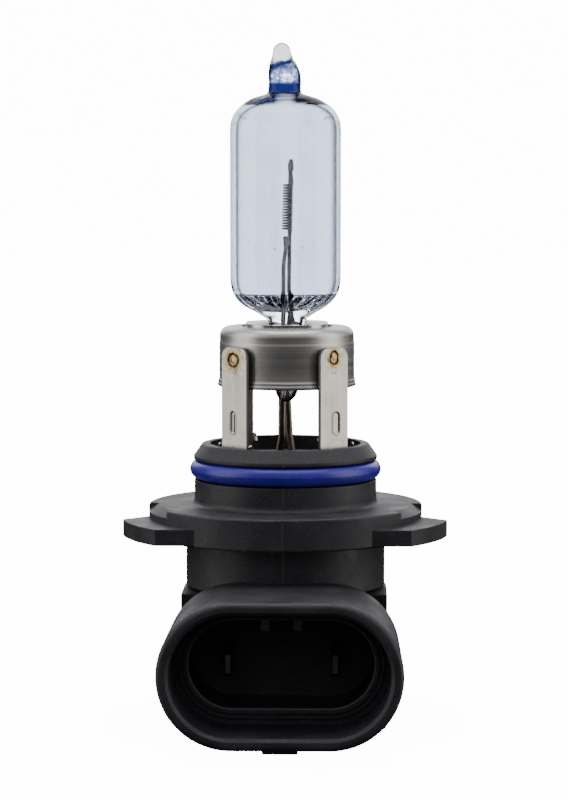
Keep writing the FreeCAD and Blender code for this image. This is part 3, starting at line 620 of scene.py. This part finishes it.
def capsule_inside(bm, folds):
    """The cavity's skin; folds receives, point by point, the value that sets the painted highlight and
    shade on the floor's folds.
    """
    path = [(r, curve_at(FLOOR_Z, r)) for r in spaced(0.10, FLOOR_R, 80)]
    path += [(curve_at(INNER_R, z), z) for z in (22.86, 22.93, 23.0, 23.1, 23.25, 23.45)]
    path += [(CAVITY_R, z) for z in spaced(24.0, 39.2, 40)]
    path += [(curve_at(INNER_R, z), z) for z in spaced(39.4, 42.6, 26)]
    path += [(curve_at(INNER_R, z), z)
             for z in (42.72, 42.82, 42.91, 42.98, 43.04, 43.08, 43.11, 43.13)]
    rows = []
    for radius, z in path:
        row = []
        for i in range(CAVITY_SIDES):
            phi = math.tau * i / CAVITY_SIDES
            lift, value = 0.0, 0.0
            if z < FLOOR_TOP:
                fade, wave = petal_fold(radius, phi)
                lift = 0.05 * fade * wave
                value = (0.5 + 0.5 * wave * fade) * fade
            row.append((radius * math.cos(phi), radius * math.sin(phi), z + lift))
            folds.append(value)
        rows.append(row)
    made = lattice(bm, rows, flip=True)
    cap(bm, made[0], (0, 0, FLOOR_Z[0][1]), flip=True)
    cap(bm, made[-1], (0, 0, CAVITY_TOP))
    folds += [0.0, 0.0]


def build_capsule():
    """One envelope made of two skins: the outside and, facing inward, the cavity."""
    outside, inside = glass_outside(), glass_inside()
    outer, inner, joined = bmesh.new(), bmesh.new(), bmesh.new()
    folds = []
    capsule_outside(outer)
    capsule_inside(inner, folds)
    for skin in (outer, inner):
        bmesh.ops.recalc_face_normals(skin, faces=skin.faces)
    bmesh.ops.reverse_faces(inner, faces=inner.faces)
    outer_verts, outer_faces = len(outer.verts), len(outer.faces)
    mesh = bpy.data.meshes.new("glass_envelope")
    for skin in (outer, inner):
        skin.to_mesh(mesh)
        skin.free()
        joined.from_mesh(mesh)
    joined.to_mesh(mesh)
    joined.free()
    mesh.materials.append(outside)
    mesh.materials.append(inside)
    for index, face in enumerate(mesh.polygons):
        face.use_smooth = True
        face.material_index = 0 if index < outer_faces else 1
    obj = bpy.data.objects.new("glass_envelope", mesh)
    bpy.context.scene.collection.objects.link(obj)
    point_values(obj, "fold", [0.0] * outer_verts + folds)
    # light reaches the filament through the glass
    obj.visible_shadow = False
    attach(obj, "root")
    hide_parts("glass_capsule")


# --- collar ---------------------------------------------------------------------------
def arc(cx, cz, radius, start, end, count):
    made = []
    for k in range(count):
        t = math.radians(start + (end - start) * k / (count - 1))
        made.append((cx + radius * math.cos(t), cz + radius * math.sin(t)))
    return made


def build_collar(material):
    outline = [(4.9, 19.1), (5.6, 19.1)] + arc(6.20, 18.10, 1.00, 90, 0, 20)
    outline += [(7.203, 17.9), (7.205, 17.6), (7.212, 17.5), (7.235, 17.42), (7.247, 17.3),
                (7.25, 17.1), (7.25, 16.0), (7.25, 14.9), (7.25, 13.62), (7.27, 13.50),
                (7.33, 13.42), (7.36, 13.34), (7.335, 13.24), (7.33, 13.16), (7.38, 13.08),
                (7.42, 12.98), (7.42, 12.84), (7.38, 12.75), (7.28, 12.70), (7.05, 12.72),
                (6.93, 12.82), (6.90, 13.2), (6.90, 17.8)]
    outline += arc(6.35, 18.2, 0.55, 0, 90, 8) + [(5.6, 18.75), (4.9, 18.75)]
    count = 256
    rows = []
    for i in range(count):
        phi = math.tau * i / count
        row = []
        for r, z in outline:
            dent = noise.noise(Vector((math.cos(phi) * 2.2, math.sin(phi) * 2.2, z * 0.35))) * 0.035
            tall = smooth_step(12.9, 13.6, z) * (1 - smooth_step(17.2, 18.0, z))
            wobble = 0.02 * math.sin(3 * phi + 0.8)
            rr = r + dent * tall + wobble * (1 - smooth_step(13.0, 13.8, z))
            row.append((MOUNT_X + rr * math.sin(phi), -rr * math.cos(phi), z))
        rows.append(row)
    bm = bmesh.new()
    closed_tube(bm, rows)
    piece(bm, "collar_shell", [material], ["retaining_collar"], 50)


# --- frame: ring and four coined legs -------------------------------------------------
def leg_mesh(bm, angle, style, heat, ring):
    """One strip as a closed skin; the outer face carries the coined slot and the weld crater."""
    half, edge = LEG_W / 2, 0.11
    levels = (spaced(LEG_FOOT_Z, 7.0, 14) + spaced(7.06, 10.7, 92) + spaced(10.8, 14.1, 22)
              + spaced(14.15, 16.62, 68))
    levels += [LEG_TOP_Z - 0.45 * (1 - math.sin(math.radians(a))) for a in range(5, 90, 7)]
    front = spaced(-1, 1, 84)
    weld_x = WELD_X[style]
    stretch = 1.25 if style == "front_right" else 0.92
    turn = Matrix.Rotation(math.radians(angle), 3, "Z")
    rows = []
    for z in levels:
        fall = LEG_TOP_Z - z
        width = half
        if fall < LEG_CORNER:
            width = half - LEG_CORNER + math.sqrt(max(0.0, LEG_CORNER ** 2 - (LEG_CORNER - fall) ** 2))
        thin = edge - math.sqrt(max(0.0, edge ** 2 - max(0.0, edge - fall) ** 2)) if fall < edge else 0.0
        loop = []
        for u in front:
            x = u * (width - edge)
            depth = 0.0
            # coined slot: steep walls, a raised burr round it and a rounded head
            middle, reach = (SLOT_LOW + SLOT_HIGH) / 2, (SLOT_HIGH - SLOT_LOW) / 2
            slot_x = 0.28 if style == "front_right" else weld_x
            slot_half = 0.42 if style == "front_right" else SLOT_HALF
            inside = math.hypot(x - slot_x, max(0.0, abs(z - middle) - reach + slot_half)) - slot_half
            depth += 0.10 * (1 - smooth_step(-0.09, 0.02, inside))
            depth -= 0.035 * bump_at(inside, 0.09, 0.06)
            if style == "front_left":
                depth -= 0.08 * (1 - smooth_step(-0.30, -0.14, inside))
            # weld crater: sunk ring, raised lip, domed middle
            away = math.hypot((x - weld_x) * stretch, z - WELD_Z[style])
            away += 0.07 * noise.noise(Vector((x * 3.1, z * 3.1, angle + 4)))
            depth += (0.06 * bump_at(away, WELD_RING_R, 0.10) - 0.02 * bump_at(away, 0.86, 0.14)
                      - 0.025 * (1 - smooth_step(0.0, 0.55, away)))
            depth += 0.05 * bump_at(away, 0.0, 2.0) * noise.noise(Vector((x * 2.4, z * 2.4, angle)))
            # a soft handling dimple under the weld
            depth += 0.05 * bump_at(math.hypot(x - weld_x, (z - 14.35) * 1.3), 0.0, 0.30)
            loop.append((x, -LEG_FACE_R + depth + thin, away))
        # rounded edge, then half of the back, mirrored for the other side
        corner_x = width - edge
        front_y, back_y = -LEG_FACE_R + thin + edge, -LEG_FACE_R + LEG_T - thin - edge
        right = []
        for degrees in (18, 36, 54, 72, 90):
            a = math.radians(degrees)
            right.append((corner_x + edge * math.sin(a), front_y - edge * math.cos(a), FAR_FROM_WELD))
        right.append((width, -LEG_FACE_R + LEG_T / 2, FAR_FROM_WELD))
        for degrees in (0, 30, 60, 90):
            a = math.radians(degrees)
            right.append((corner_x + edge * math.cos(a), back_y + edge * math.sin(a), FAR_FROM_WELD))
        back = [(u * corner_x, -LEG_FACE_R + LEG_T - thin, FAR_FROM_WELD)
                for u in spaced(0.9, -0.9, 12)]
        left = [(-x, y, away) for x, y, away in right[::-1]]
        loop += right + back + left
        placed = []
        for x, y, away in loop:
            p = turn @ Vector((x, y, z))
            placed.append((p.x + MOUNT_X, p.y, p.z))
            heat.append(max(0.0, 1 - away / 1.75))
            ring.append(bump_at(away, WELD_RING_R, 0.15))
        rows.append(placed)
    made = lattice(bm, rows)
    for end in (made[0], made[-1]):
        cap_flat(bm, end)
        heat.append(0.0)
        ring.append(0.0)


def build_legs(leg_material, shaded_side_material):
    for style, angle in LEG_ANGLES.items():
        bm = bmesh.new()
        heat, ring = [], []
        leg_mesh(bm, angle, style, heat, ring)
        obj = piece(bm, "leg_" + style, [leg_material, shaded_side_material])
        turn = math.radians(angle)
        outward = Vector((math.sin(turn), -math.cos(turn), 0))
        # faces that do not face outward take the painted-shade steel
        for face in obj.data.polygons:
            face.material_index = 0 if face.normal.dot(outward) > 0.45 else 1
        point_values(obj, "warmth", heat)
        point_values(obj, "ring", ring)
        if style == "front_left":
            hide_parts("support_frame", "leg_welds")


def build_foot_ring(material):
    count = 192
    rows = []
    for i in range(count):
        phi = math.tau * i / count
        ripple = 0.03 * noise.noise(Vector((math.cos(phi) * 4, math.sin(phi) * 4, 0.3)))
        rows.append([(r * math.cos(phi), r * math.sin(phi), z + ripple) for r, z in FOOT_RING])
    bm = bmesh.new()
    closed_tube(bm, rows)
    piece(bm, "foot_ring", [material], (), 40)


def build_foot_barbs(material):
    """Small lanced barbs beside the feet that bite into the moulded neck."""
    for label, angle in BARB_ANGLES.items():
        turn = Matrix.Rotation(math.radians(angle), 3, "Z")
        bm = bmesh.new()
        rows = []
        for k in range(15):
            t = k / 14
            lift = 5.6 + 1.25 * math.sin(math.pi * (0.1 + 0.58 * t))
            radius = 7.55 + 0.55 * t
            row = []
            for i in range(16):
                a = math.tau * i / 16
                side = 0.24 * (1 - 0.45 * t) * math.cos(a)
                up = 0.085 * math.sin(a)
                p = turn @ Vector((side, -(radius + up * 0.5), lift + up))
                row.append((p.x, p.y, p.z))
            rows.append(row)
        made = lattice(bm, rows)
        for end in (made[0], made[-1]):
            cap_flat(bm, end)
        piece(bm, "foot_barb_" + label, [material])


# --- seal ring ------------------------------------------------------------------------
def build_seal(material):
    """The ring's cord, with a fine moulding line on its outside and a slightly uneven skin."""
    around, section = 288, 56
    rows = []
    for i in range(around):
        phi = math.tau * i / around
        row = []
        for k in range(section):
            t = math.tau * k / section
            flash = 0.03 * bump_at(t, 0.0, 0.06) + 0.03 * bump_at(t, math.tau, 0.06)
            skin = 0.012 * noise.noise(Vector((math.cos(phi) * 7, math.sin(phi) * 7, k * 0.12)))
            thick = SEAL_MINOR - 0.03 + flash + skin
            reach = SEAL_MAJOR + thick * math.cos(t)
            row.append((reach * math.cos(phi), reach * math.sin(phi), SEAL_Z + thick * math.sin(t)))
        rows.append(row)
    bm = bmesh.new()
    closed_tube(bm, rows)
    piece(bm, "seal_cord_ring", [material], ["seal_ring"])


# --- studio ---------------------------------------------------------------------------
def studio():
    s = Shade("studio_paper")
    s.set(Roughness=0.9, Specular_IOR_Level=0.0)
    paper = s.noise(40, 3)
    s.feed("Base Color", s.mix(s.band(paper, 0.3, 0.7), (0.80, 0.80, 0.80), (0.84, 0.84, 0.84)))
    s.set(Emission_Color=(1.0, 1.0, 1.0, 1), Emission_Strength=BACKDROP)
    # flat paper, then a wide bend, then a dome over everything
    dome_r, bend_z = PAPER_R + BEND_R, PAPER_Z + BEND_R
    outline = [(r, PAPER_Z) for r in (20.0, 100.0, 300.0, PAPER_R)]
    for degrees in range(6, 91, 6):
        a = math.radians(degrees)
        outline.append((PAPER_R + BEND_R * math.sin(a), bend_z - BEND_R * math.cos(a)))
    for degrees in range(6, 88, 6):
        a = math.radians(degrees)
        outline.append((dome_r * math.cos(a), bend_z + dome_r * math.sin(a)))
    turns = [math.tau * i / 96 for i in range(96)]
    bm = bmesh.new()
    made = lattice(bm, [[(r * math.cos(phi), r * math.sin(phi), z) for phi in turns] for r, z in outline])
    cap(bm, made[0], (0, 0, PAPER_Z))
    cap(bm, made[-1], (0, 0, bend_z + dome_r))
    mesh = bpy.data.meshes.new("studio_sweep")
    bm.to_mesh(mesh)
    bm.free()
    for face in mesh.polygons:
        face.use_smooth = True
    mesh.materials.append(s.material)
    sweep = bpy.data.objects.new("studio_sweep", mesh)
    bpy.context.scene.collection.objects.link(sweep)
    sweep.visible_diffuse = False
    sweep.visible_glossy = False
    sweep.visible_shadow = False
    sweep.visible_volume_scatter = False


def softbox(name, place, size, power, colour=(1, 1, 1), aim=(0, 0, 0.012), mirrored=True):
    data = bpy.data.lights.new(name, "AREA")
    data.shape = "RECTANGLE"
    data.size, data.size_y = size
    data.energy = power
    data.color = colour
    lamp = bpy.data.objects.new(name, data)
    bpy.context.scene.collection.objects.link(lamp)
    lamp.location = place
    lamp.rotation_mode = "QUATERNION"
    lamp.rotation_quaternion = (Vector(aim) - Vector(place)).to_track_quat("-Z", "Y")
    lamp.visible_camera = False
    lamp.visible_transmission = False
    lamp.visible_glossy = mirrored


def surroundings():
    world = bpy.data.worlds.new("studio_air")
    bpy.context.scene.world = world
    world.use_nodes = True
    tree = world.node_tree
    back = tree.nodes["Background"]
    coords = tree.nodes.new("ShaderNodeTexCoord")
    split = tree.nodes.new("ShaderNodeSeparateXYZ")
    tree.links.new(coords.outputs["Generated"], split.inputs[0])
    ramp = tree.nodes.new("ShaderNodeValToRGB")
    ramp.color_ramp.elements[0].position = 0.46
    ramp.color_ramp.elements[0].color = (0.035, 0.035, 0.04, 1)
    ramp.color_ramp.elements[1].position = 0.92
    ramp.color_ramp.elements[1].color = (0.95, 0.96, 1.0, 1)
    half = tree.nodes.new("ShaderNodeMapRange")
    half.inputs["From Min"].default_value = -1.0
    tree.links.new(split.outputs["Z"], half.inputs["Value"])
    tree.links.new(half.outputs[0], ramp.inputs["Fac"])
    tree.links.new(ramp.outputs["Color"], back.inputs["Color"])
    back.inputs["Strength"].default_value = 0.55


studio()
surroundings()
softbox("box_left", (-0.55, -0.10, 0.16), (0.42, 0.75), 1.9, (1.0, 0.985, 0.95))
softbox("box_right", (0.55, -0.06, 0.14), (0.42, 0.75), 2.0, (1.0, 0.985, 0.95))
softbox("box_top", (0.0, 0.0, 0.62), (0.60, 0.50), 2.6)
softbox("box_back", (0.0, 0.60, 0.30), (0.9, 0.5), 2.4)
softbox("box_front", (-0.05, -0.75, 0.34), (0.35, 0.20), 0.50, mirrored=False)
softbox("box_fill", (0.03, -0.80, -0.01), (0.5, 0.12), 0.12, mirrored=False)

# --- assembly -------------------------------------------------------------------------
collar_finish = steel("satin_stainless_brushed", (0.60, 0.585, 0.56), rough=(0.33, 0.45),
                      brush_scale=(26, 26, 5200), brush=0.45, edge=0.0).material
leg_finish = leg_steel()
clip_finish = steel("clip_steel_sheet", (0.66, 0.66, 0.67), rough=(0.20, 0.32),
                    brush_scale=(900, 900, 900), brush=0.25).material
barb_finish = steel("frame_steel_ring", (0.72, 0.70, 0.67), rough=(0.24, 0.36),
                    brush_scale=(900, 900, 900), brush=0.25, edge=0.0).material
# painted shade: a dark copy of the frame steel for the legs' inward and side faces and for the foot ring
shaded_steel_finish = steel("frame_steel_painted_shade", (0.13, 0.12, 0.115), rough=(0.38, 0.52),
                     brush_scale=(1500, 1500, 200), brush=0.3, edge=0.0).material

build_capsule()
build_collar(collar_finish)
build_legs(leg_finish, shaded_steel_finish)
# the foot ring, seen between the legs, takes the painted-shade steel
build_foot_ring(shaded_steel_finish)
build_foot_barbs(barb_finish)
build_seal(rubber())

looks = {
    "filament_coil": simple_metal("tungsten_coil", (0.006, 0.006, 0.007), (0.022, 0.022, 0.026), 3000,
                                  rough=(0.35, 0.55)),
    "long_inner_lead": simple_metal("lead_metal_drawn", (0.022, 0.022, 0.026), (0.085, 0.085, 0.092),
                                    2500, (1, 1, 0.1)),
    "rear_seal_foil": simple_metal("foil_metal_rolled", (0.03, 0.03, 0.035), (0.08, 0.08, 0.09), 2200,
                                   (1, 1, 0.15)),
    "rear_outer_lead": simple_metal("outer_lead_metal_drawn", (0.115, 0.100, 0.080),
                                    (0.28, 0.245, 0.200), 2600, (1, 1, 0.12)),
    "left_terminal": simple_metal("terminal_brass_dull", (0.20, 0.19, 0.14), (0.32, 0.30, 0.23), 1800,
                                  (1, 1, 0.2)),
    "terminal_welds": simple_metal("weld_metal_pool", (0.22, 0.20, 0.18), (0.36, 0.33, 0.30), 1500),
    "lead_seal": plastic("sealing_compound_cast", (0.020, 0.018, 0.017), (0.040, 0.036, 0.033)),
    "base_housing": plastic("base_plastic_matte", (0.0185, 0.0185, 0.0225), (0.028, 0.028, 0.034),
                            ribs=True),
    "rear_cover": plastic("cover_plastic_matte", (0.012, 0.012, 0.014), (0.018, 0.018, 0.021)),
    "pinch_clip": clip_finish,
}
shared = {
    "lower_filament_crimp": "long_inner_lead",
    "upper_filament_crimp": "long_inner_lead",
    "short_inner_lead": "long_inner_lead",
    "front_seal_foil": "rear_seal_foil",
    "front_outer_lead": "rear_outer_lead",
    "right_terminal": "left_terminal",
}
for name, node in nodes.items():
    if node.hide_render:
        continue
    finish = looks.get(name) or looks[shared[name]]
    node.data.materials[0] = finish

# --- camera ---------------------------------------------------------------------------
CAMERA_TURN = math.radians(1.3)
CAMERA_REACH = 0.300
CAMERA_HEIGHT = 0.0369
CAMERA_AIM = Vector((-0.00016, 0, 0.0111))
camera_data = bpy.data.cameras.new("studio_camera")
camera = bpy.data.objects.new("studio_camera", camera_data)
bpy.context.scene.collection.objects.link(camera)
camera_data.lens = 126
camera_data.sensor_width = 36
camera_data.clip_start = 0.01
camera_data.clip_end = 10
camera.location = (CAMERA_REACH * math.sin(CAMERA_TURN), -CAMERA_REACH * math.cos(CAMERA_TURN),
                   CAMERA_HEIGHT)
camera.rotation_mode = "QUATERNION"
camera.rotation_quaternion = (CAMERA_AIM - camera.location).to_track_quat("-Z", "Y")
bpy.context.scene.camera = camera
